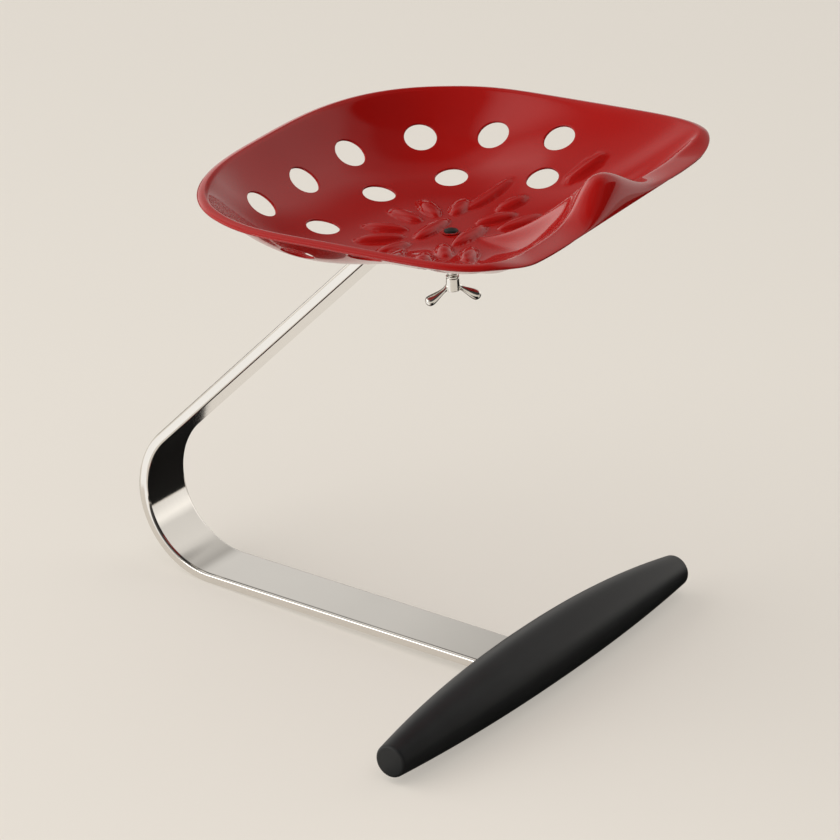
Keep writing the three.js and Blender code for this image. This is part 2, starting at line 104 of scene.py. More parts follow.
class Graph:
    """A node tree that is filled by one method, and the material that it may belong to."""

    def __init__(self, tree, material=None):
        self.tree = tree
        self.material = material

    def add(self, kind, values=None, output=0, **settings):
        """Adds a node: its settings first, then a value or a link for each socket, or a list of links for one."""
        node = self.tree.nodes.new(kind)
        for name, setting in settings.items():
            if name == "stops":
                self.set_stops(node.color_ramp, setting)
            else:
                setattr(node, name, setting)
        for key, value in (values or {}).items():
            for source in value if isinstance(value, list) else [value]:
                if isinstance(source, Socket):
                    self.tree.links.new(source.socket, node.inputs[key])
                else:
                    node.inputs[key].default_value = source
        return Socket(self, node.outputs[output]) if node.outputs else node

    @staticmethod
    def set_stops(ramp, stops):
        """Stops of a colour ramp, each a place and a colour or a grey level."""
        while len(ramp.elements) > 1:
            ramp.elements.remove(ramp.elements[-1])
        for i, (place, colour) in enumerate(stops):
            stop = ramp.elements[0] if i == 0 else ramp.elements.new(place)
            stop.position = place
            stop.color = (*(colour if isinstance(colour, tuple) else (colour,) * 3), 1.0)


def x_part(graph, vector):
    """The X of a vector. Its Y and Z are other outputs of the same node."""
    return graph.add("ShaderNodeSeparateXYZ", {0: vector}, output="X")


def geometry_graph(name, inputs):
    """A geometry tree and its input sockets by name. An input is given by its default number or by its kind."""
    tree = bpy.data.node_groups.new(name, "GeometryNodeTree")
    tree.is_modifier = True
    for way in ("OUTPUT", "INPUT"):
        tree.interface.new_socket("Geometry", in_out=way, socket_type="NodeSocketGeometry")
    for label, default in {**inputs, "Material": "Material"}.items():
        kind = {float: "Float", int: "Int"}.get(type(default), default)
        socket = tree.interface.new_socket(label, in_out="INPUT", socket_type=f"NodeSocket{kind}")
        if kind != default:
            socket.default_value = default
    graph = Graph(tree)
    entry = graph.add("NodeGroupInput")
    return graph, {o.name: entry.other(o.name) for o in entry.socket.node.outputs if o.name}


CREASE = radians(32)


def end_graph(graph, geometry, given):
    """Realizes, shades and gives the material, so that the tree leaves one plain mesh."""
    real = graph.add("GeometryNodeRealizeInstances", {0: geometry})
    shading = "GeometryNodeSetShadeSmooth"
    smoothed = graph.add(shading, {0: real, "Shade Smooth": True})
    sharp = graph.add("GeometryNodeInputMeshEdgeAngle") > CREASE
    creased = graph.add(shading, {0: smoothed, "Selection": sharp, "Shade Smooth": False}, domain="EDGE")
    finished = graph.add("GeometryNodeSetMaterial", {0: creased, "Material": given["Material"]})
    graph.add("NodeGroupOutput", {0: finished})
    return graph


def new_object(name, data):
    piece = bpy.data.objects.new(name, data)
    bpy.context.scene.collection.objects.link(piece)
    return piece


def grown(name, graph, values, settings=None):
    """An object with a geometry tree's plain mesh. The tree's inputs are values or settings of the same name."""
    piece = mesh_piece(name, [], [])
    modifier = add_modifier(piece, "Form", "NODES", node_group=graph.tree)
    for item in graph.tree.interface.items_tree:
        value = values.get(item.name, getattr(settings, item.name.lower().replace(" ", "_"), None))
        if item.in_out == "INPUT" and value is not None:
            modifier[item.identifier] = value
    baked(piece)
    piece.data.name = name
    return piece


# Meshes made in code


def mesh_piece(name, places, faces, material=None, matrix=Matrix()):
    mesh = bpy.data.meshes.new(name)
    mesh.from_pydata([tuple(map(float, p)) for p in places], [], [tuple(map(int, f)) for f in faces])
    mesh.transform(matrix)
    mesh.shade_smooth()
    if material:
        mesh.materials.append(material)
    return new_object(name, mesh)


def quarter_turn(steps):
    return np.linspace(0, pi / 2, steps)


def turned_mesh(name, profile, steps, material, matrix=Matrix()):
    """A body turned about Z from its profile, bottom first. The profile ends on the axis or where it began."""
    places, faces, rings = [], [], []
    closed = profile[0] == profile[-1]
    for radius, height in profile[: len(profile) - closed]:
        turns = [2 * pi * i / steps for i in range(steps if radius else 1)]
        rings.append(range(len(places), len(places) + len(turns)))
        places += [(radius * cos(turn), radius * sin(turn), height) for turn in turns]
    for low, high in zip(rings, rings[1:] + rings[:closed]):
        for i, j in zip(range(steps), [*range(1, steps), 0]):
            corners = (low[i % len(low)], low[j % len(low)], high[j % len(high)], high[i % len(high)])
            # A ring on the axis is one place, so that a face there has three corners
            faces.append(tuple(dict.fromkeys(corners)))
    return mesh_piece(name, places, faces, material, matrix)


def edit_mesh(piece, change):
    """Runs a change on a piece's mesh."""
    shape = bmesh.new()
    shape.from_mesh(piece.data)
    change(shape)
    shape.to_mesh(piece.data)
    shape.free()


def crease_edges(shape, angle=radians(40)):
    """Keeps edges sharper than the angle crisp."""
    for edge in shape.edges:
        if len(edge.link_faces) == 2 and edge.calc_face_angle() > angle:
            edge.smooth = False


def add_modifier(piece, name, kind, **settings):
    modifier = piece.modifiers.new(name, kind)
    for key, value in settings.items():
        setattr(modifier, key, value)
    return modifier


def baked(piece):
    """Turns a piece's live modifiers into its plain mesh."""
    mesh = bpy.data.meshes.new_from_object(piece.evaluated_get(bpy.context.evaluated_depsgraph_get()))
    piece.modifiers.clear()
    piece.data = mesh


def cut_away(piece, tool):
    add_modifier(piece, "Cut", "BOOLEAN", operation="DIFFERENCE", solver="EXACT", object=tool)
    baked(piece)
    bpy.data.objects.remove(tool)


# Settings that a user would change


def metres(name, description, default):
    return FloatProperty(name=name, description=description, default=default, unit="LENGTH")


def degrees(name, description, default):
    return FloatProperty(name=name, description=description, default=radians(default), subtype="ANGLE")


def rgb(name, description, default):
    return FloatVectorProperty(name=name, description=description, default=default, subtype="COLOR")


class PanSizes(PropertyGroup):
    """Sizes of the pressed seat, from the bolt's axis"""

    thickness: metres("Sheet thickness", "Thickness of the pressed steel", 0.0022)
    back_reach: metres("Back reach", "From the bolt to the back edge", 0.2045)
    front_reach: metres("Front reach", "From the bolt to the front edge", 0.1837)
    back_half_width: metres("Back half width", "Half the width of the back half", 0.2217)
    front_half_width: metres("Front half width", "Half the width of the front half", 0.2211)
    rim_height: metres("Rim height", "Height of the rim over the boss", 0.0631)
    pommel_rise: metres("Pommel rise", "Height of the pommel over the front edge", 0.0283)
    hole_radius: metres("Hole radius", "Radius of the punched holes", 0.0155)
    hole_lip: metres("Hole lip", "Radius of the round at a hole's upper edge", 0.0009)
    bead_height: metres("Bead height", "Height of the stiffening beads", 0.0052)
    lacquer: rgb("Lacquer", "Colour of the seat's lacquer", (0.325, 0.0052, 0.004))


class BarSizes(PropertyGroup):
    """Sizes of the bent bar"""

    width: metres("Width", "Width of the bar", 0.0615)
    thickness: metres("Thickness", "Thickness of the bar", 0.0107)
    edge_radius: metres("Edge radius", "Round of the bar's long edges", 0.0032)
    bend_radius: metres("Bend radius", "Radius of the big bend's centre line", 0.08)
    tongue_bend_radius: metres("Tongue bend radius", "Radius of the bend under the seat", 0.04)
    tint: rgb("Plating", "Colour of the plating", (0.8, 0.775, 0.735))


class CrossbarSizes(PropertyGroup):
    """Sizes of the turned crossbar"""

    length: metres("Length", "Length of the crossbar", 0.49)
    middle_radius: metres("Middle radius", "Radius in the middle", 0.0304)
    end_radius: metres("End radius", "Radius at the ends", 0.0158)
    end_drop: metres("End drop", "How far the ends' centres lie below the middle's", 0.0076)
    paint: rgb("Paint", "Colour of the crossbar's paint", (0.0125, 0.0135, 0.0145))


class StageSettings(PropertyGroup):
    """The studio and the camera"""

    floor_colour: rgb("Floor", "Colour of the floor", (0.38, 0.362, 0.335))
    floor_glow: rgb("Floor glow", "Light that the floor sheet gives off", (0.412, 0.387, 0.35))
    azimuth: degrees("Azimuth", "Camera's bearing", -56.5145)
    elevation: degrees("Elevation", "Camera's height over the horizon", 25.4632)
    roll: degrees("Roll", "Camera's lean", 2.4457)
    distance: metres("Distance", "From the camera to the point it looks at", 4.882)
    lens: FloatProperty(name="Lens", description="Focal length in millimetres", default=221.51)


# Materials


def new_material(name):
    material = bpy.data.materials.new(name)
    material.use_nodes = True
    material.node_tree.nodes.clear()
    return Graph(material.node_tree, material)


def end_material(graph, surface):
    graph.add("ShaderNodeOutputMaterial", {"Surface": surface})
    return graph.material


def finish_material(graph, values):
    return end_material(graph, graph.add("ShaderNodeBsdfPrincipled", values))


def object_place(graph):
    return graph.add("ShaderNodeTexCoord", output="Object")


def noise(graph, scale, detail=2.0, roughness=0.5, along=(1.0, 1.0, 1.0)):
    """Noise in object coordinates, which are scaled along each axis."""
    place = graph.add("ShaderNodeMapping", {"Vector": object_place(graph), "Scale": along})
    values = {"Vector": place, "Scale": scale, "Detail": detail, "Roughness": roughness}
    return graph.add("ShaderNodeTexNoise", values)


def bump(graph, height, strength, distance):
    return graph.add("ShaderNodeBump", {"Height": height, "Strength": strength, "Distance": distance})


def ramp(graph, factor, stops):
    return graph.add("ShaderNodeValToRGB", {0: factor}, stops=stops)


def between(factor, low, high):
    """A number that runs from low to high as the factor runs from 0 to 1."""
    return factor * (high - low) + low


def mixed(graph, factor, first, second):
    """Two colours mixed by a factor. A Mix node's sockets for colours are inputs 6 and 7 and output 2."""
    first, second = (c if isinstance(c, Socket) else (*c[:3], 1.0) for c in (first, second))
    return graph.add("ShaderNodeMix", {0: factor, 6: first, 7: second}, 2, data_type="RGBA")


def shade(colour, factor):
    return tuple(min(max(c * factor, 0.0), 1.0) for c in colour)


def varied(graph, factor, colour, low, high):
    """A colour that runs between two shades of itself."""
    return mixed(graph, factor, shade(colour, low), shade(colour, high))


def red_lacquer(lacquer):
    """Glossy stoved lacquer: a faint orange peel, slightly uneven depth and softly dulled by sitting."""
    graph = new_material("red_lacquer")
    depth, dulled, peel = noise(graph, 9.0, 3.0), noise(graph, 26.0, 4.0, 0.6), noise(graph, 420.0)
    return finish_material(graph, {
        "Base Color": varied(graph, depth, lacquer, 0.86, 1.12),
        "Roughness": between(dulled, 0.14, 0.24),
        "Specular IOR Level": 0.05,
        "Coat Weight": 0.6, "Coat Roughness": 0.01, "Coat IOR": 1.5,
        "Normal": bump(graph, peel, 0.035, 0.0006),
    })


def polished_plate(name, tint, along, rough, strength=0.02):
    """Polished nickel plate with the faint drawn lines of its buffing."""
    graph = new_material(name)
    lines, cloud = noise(graph, 6.0, 4.0, 0.65, along), noise(graph, 14.0, 3.0)
    return finish_material(graph, {
        "Base Color": varied(graph, cloud, tint, 0.94, 1.03),
        "Metallic": 1.0,
        "Roughness": between(lines * 0.6 + cloud * 0.4, *rough),
        "Normal": bump(graph, lines, strength, 0.0005),
    })


def satin_black(paint):
    """Satin black paint over turned beech: the tool's fine rings and the grain show faintly through it."""
    graph = new_material("satin_black")
    rings = noise(graph, 1.0, 3.0, along=(520.0, 3.0, 3.0))
    grain = noise(graph, 1.0, 4.0, 0.6, (7.0, 160.0, 160.0))
    cloud = noise(graph, 30.0, 3.0)
    return finish_material(graph, {
        "Base Color": varied(graph, cloud, paint, 0.8, 1.5),
        "Roughness": between(cloud * 0.5 + grain * 0.5, 0.34, 0.5),
        "Specular IOR Level": 0.3,
        "Normal": bump(graph, rings * 0.6 + grain * 0.4, 0.06, 0.0008),
    })


def dull_finish(name, colour, rough, scale, metallic=0.0, relief=0.15):
    """Rubber, nylon, blackened steel screws, and the near-black bolt head whose dark is painted shade of the gap at
    the bolt: a fine grain in colour, gloss and surface.
    """
    graph = new_material(name)
    grain = noise(graph, scale, 4.0, 0.6)
    return finish_material(graph, {
        "Base Color": varied(graph, grain, colour, 0.8, 1.25),
        "Metallic": metallic,
        "Roughness": between(grain, rough - 0.08, rough + 0.08),
        "Normal": bump(graph, grain, relief, 0.0004),
    })


# The pressed seat's surface, which follows the part's own rule. Angles run from the back about the bolt.

RIM_BACK_RISE, RIM_SIDE_RISE = 0.0022, 0.0007
ROLL_WIDTH, ROLL_DROP = 0.0078, 0.0038
FRONT_ROLL_WIDTH, FRONT_EDGE_HEIGHT, CHANNEL_HEIGHT = 0.0239, 0.054, 0.0548
POMMEL_HALF_WIDTH, BOSS_RADIUS, BORE_RADIUS, WASHER_RADIUS = 0.048, 0.0238, 0.0053, 0.0087
OUTLINE_POWERS = (2.86, 6.1)
BACK_POWER, SIDE_POWER, POMMEL_POWER, CHANNEL_POWER, SHOULDER_POWER = 4.11, 2.24, 1.65, 3.0, 1.12
# Cosines of the angles between which the side turns into the front, and into the back wall
FRONT_TURN, WALL_TURN = (-0.62, -0.77), (-0.2, 0.63)
# The holes of one side: angle from the back in degrees and share of the way from the bolt's bore to the crest
SIDE_HOLES = (
    (26.3, 0.82), (50.5, 0.82), (72.2, 0.816), (95.4, 0.811), (24.6, 0.559), (59.4, 0.579), (101.9, 0.576)
)
HOLE_PLACES = [(0, 0.806)] + [(side * angle, out) for angle, out in SIDE_HOLES for side in (1, -1)]
HOLES_FROM = 0.0025
# Stiffening beads of the right half, and those on the middle: across, back, turn in degrees, half length, half width
SIDE_BEADS = [
    (0.018, 0.06, 17, 0.022, 0.0092),
    (0.044, 0.05, 41, 0.024, 0.0092),
    (0.06, 0.026, 76, 0.021, 0.0092),
    (0.09, 0.012, 99, 0.033, 0.0092),
    (0.047, -0.021, 124, 0.021, 0.0092),
    (0.079, -0.019, 112, 0.018, 0.0092),
    (0.046, -0.047, 117, 0.024, 0.0092),
    (0.143, -0.062, 116, 0.024, 0.007),
]
MIDDLE_BEADS = [(0.0, 0.02, 90, 0.029, 0.0092), (0.0, -0.02, 90, 0.029, 0.0092)]
BEAD_RUN_UP, BEAD_POWER = 0.005, 0.55
CREST_EASE = 0.2
# Turns of the round at a hole's upper edge, and the reach of the loops of vertices beyond it, in lip radii
LIP_TURNS, LIP_REACHES = quarter_turn(5), (1.8, 3.0, 4.6)
# How strongly the rays crowd towards the corners, and the places along them towards the boss
RAY_CROWDING, RING_CROWDING = 0.05, 0.45


def smooth(x):
    t = np.clip(x, 0.0, 1.0)
    return t * t * (3 - 2 * t)


def pan_section(angle, sizes):
    """Crest reach, crest height, edge height, roll width, wall power and share of the front along a direction."""
    across, back = np.abs(np.sin(angle)), np.cos(angle)
    turn = smooth(0.5 - 0.9 * back)
    power = between(turn, *OUTLINE_POWERS)
    half_width = between(turn, sizes.back_half_width, sizes.front_half_width)
    reach = np.where(back > 0, sizes.back_reach, sizes.front_reach)
    edge = ((across / half_width) ** power + (np.abs(back) / reach) ** power) ** (-1 / power)
    front, wall = (smooth((back - start) / (end - start)) for start, end in (FRONT_TURN, WALL_TURN))
    roll = between(front, ROLL_WIDTH, FRONT_ROLL_WIDTH)
    pommel = np.exp(-((edge * np.sin(angle) / POMMEL_HALF_WIDTH) ** 2))
    rim = sizes.rim_height + RIM_BACK_RISE * smooth(2 * back - 1) + RIM_SIDE_RISE * across**4
    crest_height = rim + front * (CHANNEL_HEIGHT - rim + sizes.pommel_rise * pommel)
    edge_height = rim - ROLL_DROP + front * (FRONT_EDGE_HEIGHT - rim + ROLL_DROP)
    front_power = POMMEL_POWER * pommel + CHANNEL_POWER * (1 - pommel)
    wall_power = between(wall, SIDE_POWER, BACK_POWER) + (front_power - SIDE_POWER) * front
    return edge - roll, crest_height, edge_height, roll, wall_power, front


def bead_height(x, y, sizes):
    """Height of the beads over the plain pan."""
    heights = np.zeros_like(x)
    for beads, across in ((SIDE_BEADS, np.abs(x)), (MIDDLE_BEADS, x)):
        for centre, back, turn, half, wide in beads:
            along = radians(turn)
            dx, dy = across - centre, y - back
            length = (dx * sin(along) + dy * cos(along)) / half
            width = (dx * cos(along) - dy * sin(along)) / wide
            inside = np.clip(1 - length**2 - width**2, 0.0, None)
            heights = np.maximum(heights, sizes.bead_height * inside**BEAD_POWER)
    return heights * smooth((np.hypot(x, y) - WASHER_RADIUS) / BEAD_RUN_UP)


def pan_height(x, y, sizes):
    """Height of the upper face at a place inside the rim's crest."""
    angle, radius = np.arctan2(x, y), np.hypot(x, y)
    crest, height, _, _, power, front = pan_section(angle, sizes)
    climb = np.clip((radius - BOSS_RADIUS) / (crest - BOSS_RADIUS), 0.0, 1.0)
    # The front edge is eased: its last stretch turns level where the roll begins
    ease = 1 - CREST_EASE * front
    start, slope, run = ease**power, power * ease ** (power - 1), np.maximum(1 - ease, 1e-9)
    t = np.clip((climb - ease) / run, 0.0, 1.0)
    turn = (2 * t**3 - 3 * t**2 + 1) * start + (t**3 - 2 * t**2 + t) * run * slope + (3 * t**2 - 2 * t**3)
    share = np.where((climb > ease) & (front > 1e-6), turn, climb**power)
    wall = height * (1 - np.clip(1 - share, 0.0, 1.0) ** SHOULDER_POWER)
    return wall + bead_height(x, y, sizes)


def unit(vectors):
    return vectors / np.linalg.norm(vectors, axis=-1, keepdims=True)


def pan_normal(x, y, sizes):
    step = 1e-5
    slope_x = (pan_height(x + step, y, sizes) - pan_height(x - step, y, sizes)) / (2 * step)
    slope_y = (pan_height(x, y + step, sizes) - pan_height(x, y - step, sizes)) / (2 * step)
    return unit(np.stack([-slope_x, -slope_y, np.ones_like(x)], -1))


def roll_point(angle, roll, sizes):
    """A place on the rolled rim: 0 at the crest, a quarter turn at the edge."""
    crest, height, edge, width, _, _ = pan_section(angle, sizes)
    radius = crest + width * np.sin(roll)
    fall = (height - edge) * (1 - np.cos(roll))
    return np.stack([radius * np.sin(angle), radius * np.cos(angle), height - fall], -1)


def roll_normal(angle, roll, sizes):
    step = 1e-4
    outward = roll_point(angle, roll + step, sizes) - roll_point(angle, roll - step, sizes)
    around = roll_point(angle - step, roll, sizes) - roll_point(angle + step, roll, sizes)
    return unit(np.cross(outward, around))


def hole_centres(sizes):
    angles, outs = np.array(HOLE_PLACES).T
    angles = np.radians(angles)
    radius = HOLES_FROM + (pan_section(angles, sizes)[0] - HOLES_FROM) * outs
    return np.stack([radius * np.sin(angles), radius * np.cos(angles)], -1)


def hole_loop(centre, radius, steps, sizes):
    """Plan of a circle that lies square to the sheet round a hole's centre."""
    x, y = centre[:, None]
    normal = pan_normal(x, y, sizes)[0]
    middle = np.array([*centre, *pan_height(x, y, sizes)])
    first = unit(np.cross(normal, [0.0, 0.0, 1.0]))
    second = np.cross(normal, first)
    turn = np.arange(steps) * 2 * pi / steps
    flat = middle + radius * (np.cos(turn)[:, None] * first + np.sin(turn)[:, None] * second)
    lift = np.zeros(steps)
    # A few steps along the hole's axis bring the circle down onto the curved sheet
    for _ in range(8):
        place = flat + lift[:, None] * normal
        lift += (pan_height(place[:, 0], place[:, 1], sizes) - place[:, 2]) * normal[2]
    return (flat + lift[:, None] * normal)[:, :2]


def inside_loop(points, loop, grow):
    """Which points lie inside a nearly elliptical loop, grown by a factor about its middle."""
    middle = loop.mean(0)
    around = loop - middle
    covariance = np.linalg.inv(around.T @ around / len(loop)) / 2
    offset = points - middle
    return np.einsum("...i,ij,...j->...", offset, covariance, offset) < grow**2


def pan_grid(sizes, rays=288, rings=92):
    """Bearings of rays from the bolt, and places along them from the bore to the crest."""
    even = np.arange(rays) * 2 * pi / rays
    angles = even + RAY_CROWDING * np.sin(4 * even)
    share = np.linspace(0.0, 1.0, rings + 1)
    share = share * (1 - RING_CROWDING + RING_CROWDING * share)
    radius = BORE_RADIUS + (pan_section(angles, sizes)[0][None, :] - BORE_RADIUS) * share[:, None]
    return angles, np.stack([radius * np.sin(angles), radius * np.cos(angles)], -1)


def loop_edges(row):
    return [(int(a), int(b)) for a, b in zip(row, np.roll(row, -1))]


def pan_layout(sizes, steps=64):
    """Angles, places and triangles of the plan inside the crest, and which places bore, crest and holes have."""
    angles, grid = pan_grid(sizes)
    lip = sizes.hole_lip
    widths = [lip * (1 - cos(a)) for a in LIP_TURNS] + [lip * reach for reach in LIP_REACHES]
    loops = [[hole_loop(c, sizes.hole_radius + w, steps, sizes) for w in widths] for c in hole_centres(sizes)]
    keep = np.ones(grid.shape[:2], bool)
    for rounds in loops:
        keep &= ~inside_loop(grid, rounds[-1], 1.055)
    keep[0] = keep[-1] = True
    index = -np.ones(grid.shape[:2], int)
    index[keep] = np.arange(keep.sum())
    plan, edges, holes = list(grid[keep]), loop_edges(index[0]), []
    for rounds in loops:
        holes.append([np.arange(steps) + len(plan) + i * steps for i in range(len(rounds))])
        plan += [place for loop in rounds for place in loop]
        edges += loop_edges(holes[-1][0])
    crest = [int(i) for i in index[-1]]
    result = delaunay_2d_cdt([Vector(p) for p in plan], edges, [crest], 1, 1e-9)
    places = np.array([tuple(p) for p in result[0]])
    triangles = np.array([t for t in result[2] if len(t) == 3])
    middle = places[triangles].mean(1)
    keep_face = np.hypot(middle[:, 0], middle[:, 1]) > BORE_RADIUS * 0.999
    for rounds in loops:
        keep_face &= ~inside_loop(middle, rounds[0], 0.9999)
    triangles = triangles[keep_face]
    a, b, c = (places[triangles[:, i]] for i in range(3))
    turned = np.cross(b - a, c - a)
    triangles[turned < 0] = triangles[turned < 0][:, ::-1]
    numbers = np.vectorize({old: new for new, olds in enumerate(result[3]) for old in olds}.get)
    return angles, places, triangles, numbers(index[0]), numbers(crest), numbers(holes)


def band(first, second):
    """Faces between two closed rows of vertices."""
    return zip(first, second, np.roll(second, -1), np.roll(first, -1))


def pan_mesh(sizes, material):
    """Both faces of the pressed sheet, its punched walls and its rolled edge, as one closed body."""
    angles, plan, triangles, bore, crest, holes = pan_layout(sizes)
    x, y = plan.T
    top = np.stack([x, y, pan_height(x, y, sizes)], -1)
    normal = pan_normal(x, y, sizes)
    normal[crest] = roll_normal(angles, 0.0, sizes)
    under = top - normal * sizes.thickness
    for rows in holes:
        for row, turn in zip(rows, LIP_TURNS):
            drop = normal[row] * sizes.hole_lip * (1 - sin(turn))
            top[row] -= drop
            under[row] += drop * 0.5
    count, places = len(top), [top, under]

    def add_row(row):
        places.append(row)
        return np.arange(len(row)) + sum(map(len, places[:-1]))

    top_rows, under_rows = [crest], [crest + count]
    for roll in quarter_turn(13)[1:]:
        outer = roll_point(angles, roll, sizes)
        inner = outer - roll_normal(angles, roll, sizes) * sizes.thickness
        top_rows.append(add_row(outer))
        under_rows.append(add_row(inner))
    edge_rows = [top_rows[-1]]
    tangent = unit(outer - roll_point(angles, pi / 2 - 0.01, sizes))
    middle, half = (outer + inner) / 2, (outer - inner) / 2
    for turn in np.linspace(0, pi, 5)[1:-1]:
        bulge = tangent * (sizes.thickness / 2) * sin(turn)
        edge_rows.append(add_row(middle + half * cos(turn) + bulge))
    edge_rows.append(under_rows[-1])
    faces = [*triangles, *(triangles[:, ::-1] + count)]
    for rows in (top_rows, edge_rows, under_rows[::-1]):
        for first, second in zip(rows, rows[1:]):
            faces += band(first, second)
    for rows in holes:
        faces += band(rows[0], rows[0] + count)
    faces += band(bore + count, bore)
    piece = mesh_piece("lacquered_pan", np.vstack(places), faces, material, seat_matrix())
    edit_mesh(piece, lambda shape: bmesh.ops.recalc_face_normals(shape, faces=shape.faces))
    return piece


# Geometry trees

CROSSBAR_BACK = -0.19356  # the crossbar's axis, along Y
BAR_STEPS, SPINDLE_STEPS, SPINDLE_SIDES = 96, 181, 96
BAR_CORNERS = ("Start", "Bend corner", "Tongue corner", "End")


def bar_tree():
    """Sweeps a flat bar along a path with two bends."""
    sizes = {"Bend radius": 0.08, "Tongue bend radius": 0.04, "Width": 0.06, "Thickness": 0.01}
    graph, given = geometry_graph("Bent bar", {**dict.fromkeys(BAR_CORNERS, "Vector"), **sizes})
    points = {f"Point {i}": given[corner] for i, corner in enumerate(BAR_CORNERS, 1)}
    four_sided = "GeometryNodeCurvePrimitiveQuadrilateral"
    path = graph.add(four_sided, points, mode="POINTS")
    opened = graph.add("GeometryNodeSetSplineCyclic", {0: path, "Cyclic": False})
    second = graph.add("GeometryNodeInputIndex") > 1.5
    radius = given["Bend radius"] + (given["Tongue bend radius"] - given["Bend radius"]) * second
    bent = graph.add("GeometryNodeFilletCurve", {0: opened, "Count": BAR_STEPS, "Radius": radius}, mode="POLY")
    section = {"Width": given["Width"], "Height": given["Thickness"]}
    profile = graph.add(four_sided, section, mode="RECTANGLE")
    bar = graph.add("GeometryNodeCurveToMesh", {0: bent, 1: profile, "Fill Caps": True})
    return end_graph(graph, bar, given)


def spindle_tree():
    """Turns a crossbar whose radius falls off by a power law and whose ends droop."""
    graph, given = geometry_graph("Turned crossbar", {
        "Length": 0.49, "Middle radius": 0.03, "End radius": 0.016, "End drop": 0.0076, "Taper power": 2.16,
        "Edge radius": 0.0026, "Flat depth": 0.0005, "Distance": CROSSBAR_BACK,
    })
    middle, edge = given["Middle radius"], given["Edge radius"]
    half = given["Length"] * 0.5
    line = graph.add("GeometryNodeCurvePrimitiveLine", {"Start": (-1.0, 0.0, 0.0), "End": (1.0, 0.0, 0.0)})
    dense = graph.add("GeometryNodeResampleCurve", {0: line, "Count": SPINDLE_STEPS})
    run = x_part(graph, graph.add("GeometryNodeInputPosition"))
    spaced = graph.add("ShaderNodeCombineXYZ", {"X": (run * (pi / 2)).sine() * half})
    moved = graph.add("GeometryNodeSetPosition", {0: dense, "Position": spaced})
    body = middle + (given["End radius"] - middle) * (abs(run) / half) ** given["Taper power"]
    to_end = (half - abs(run)).at_most(edge).at_least(0.0)
    round_off = edge - (edge**2.0 - (edge - to_end) ** 2.0).at_least(0.0).root()
    sized = graph.add("GeometryNodeSetCurveRadius", {0: moved, "Radius": body - round_off})
    circle = graph.add("GeometryNodeCurvePrimitiveCircle", {"Resolution": SPINDLE_SIDES, "Radius": 1.0})
    width = graph.add("GeometryNodeInputRadius")
    turned = graph.add("GeometryNodeCurveToMesh", {0: sized, 1: circle, "Scale": width, "Fill Caps": True})
    back, height = run.other("Y"), run.other("Z")
    droop = (abs(run) / half) ** given["Taper power"] * given["End drop"]
    lifted = (height + middle - given["Flat depth"] - droop).at_least(0.0)
    low = graph.add("ShaderNodeCombineXYZ", {"X": run, "Y": back + given["Distance"], "Z": lifted})
    return end_graph(graph, graph.add("GeometryNodeSetPosition", {0: turned, "Position": low}), given)


def thread_tree():
    """A stud whose thread is a ridge swept along a helix."""
    sizes = {"Radius": 0.005, "Pitch": 0.0015, "Depth": 0.0007, "Bottom": -0.056, "Top": -0.003}
    graph, given = geometry_graph("Threaded stud", sizes)
    bottom, top, pitch = given["Bottom"], given["Top"], given["Pitch"]
    length = top - bottom
    root_radius = given["Radius"] - given["Depth"]
    turns = length / pitch - 1.0
    helix = graph.add("GeometryNodeCurveSpiral", {
        "Start Radius": root_radius, "End Radius": root_radius, "Height": turns * pitch,
        "Resolution": 28, "Rotations": turns, "Reverse": True,
    })
    ridge = graph.add("GeometryNodeCurvePrimitiveCircle", {"Resolution": 4, "Radius": given["Depth"]})
    swept = graph.add("GeometryNodeCurveToMesh", {0: helix, 1: ridge, "Fill Caps": True})
    core = graph.add("GeometryNodeMeshCylinder", {"Vertices": 48, "Radius": root_radius, "Depth": length})
    parts = []
    for part, height in ((swept, bottom + pitch * 0.5), (core, (top + bottom) * 0.5)):
        place = graph.add("ShaderNodeCombineXYZ", {"Z": height})
        parts.append(graph.add("GeometryNodeTransform", {0: part, "Translation": place}))
    return end_graph(graph, graph.add("GeometryNodeJoinGeometry", {0: parts}), given)


def wings_tree():
    """Wings spaced evenly round a hub."""
    graph, given = geometry_graph("Wings", {"Wing": "Object", "Hub": "Object", "Count": 2})
    info = "GeometryNodeObjectInfo"
    wing, hub = (graph.add(info, {"Object": given[form]}, "Geometry") for form in ("Wing", "Hub"))
    points = graph.add("GeometryNodePoints", {"Count": given["Count"]})
    turn = graph.add("GeometryNodeInputIndex") * (2 * pi) / given["Count"]
    upright = graph.add("ShaderNodeCombineXYZ", {"Z": turn})
    copies = graph.add("GeometryNodeInstanceOnPoints", {0: points, "Instance": wing, "Rotation": upright})
    return end_graph(graph, graph.add("GeometryNodeJoinGeometry", {0: [copies, hub]}), given)


# Operators


class STOOL_OT_pan(Operator):
    """Make the lacquered seat with its punched holes and beads, and the washer under the bolt's head"""

    bl_idname = "stool.pan"
    bl_label = "Pressed seat"

    def execute(self, context):
        sizes = context.scene.stool_pan
        lacquer = red_lacquer(sizes.lacquer)
        bore, edge, low, high = 0.0055, 0.0003, 0.0003, 0.0013
        profile = [(bore, low), (0.0082, low), (0.0084, 0.0005)]
        profile += [(0.0084 - edge * (1 - cos(a)), 0.001 + edge * sin(a)) for a in quarter_turn(5)]
        washer = turned_mesh("lacquered_washer", profile + [(bore, high), (bore, low)], 64, lacquer, seat_matrix())
        for piece, node in ((pan_mesh(sizes, lacquer), "seat_pan"), (washer, "head_washer")):
            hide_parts(node)
            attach(piece, "seat")
        return {"FINISHED"}


BEND_DISTANCE = 0.3665  # from the crossbar's axis to the middle of the big bend
TENON = 0.014  # how far the bar reaches past the crossbar's axis
LOWER_RUN_SLOPE = -radians(1.8)
TONGUE_DEPTH, TONGUE_REACH = 0.0137, 0.0693  # from the pan's boss down to the tongue, and back to its bend
TONGUE_HOLE_RADIUS = 0.0076


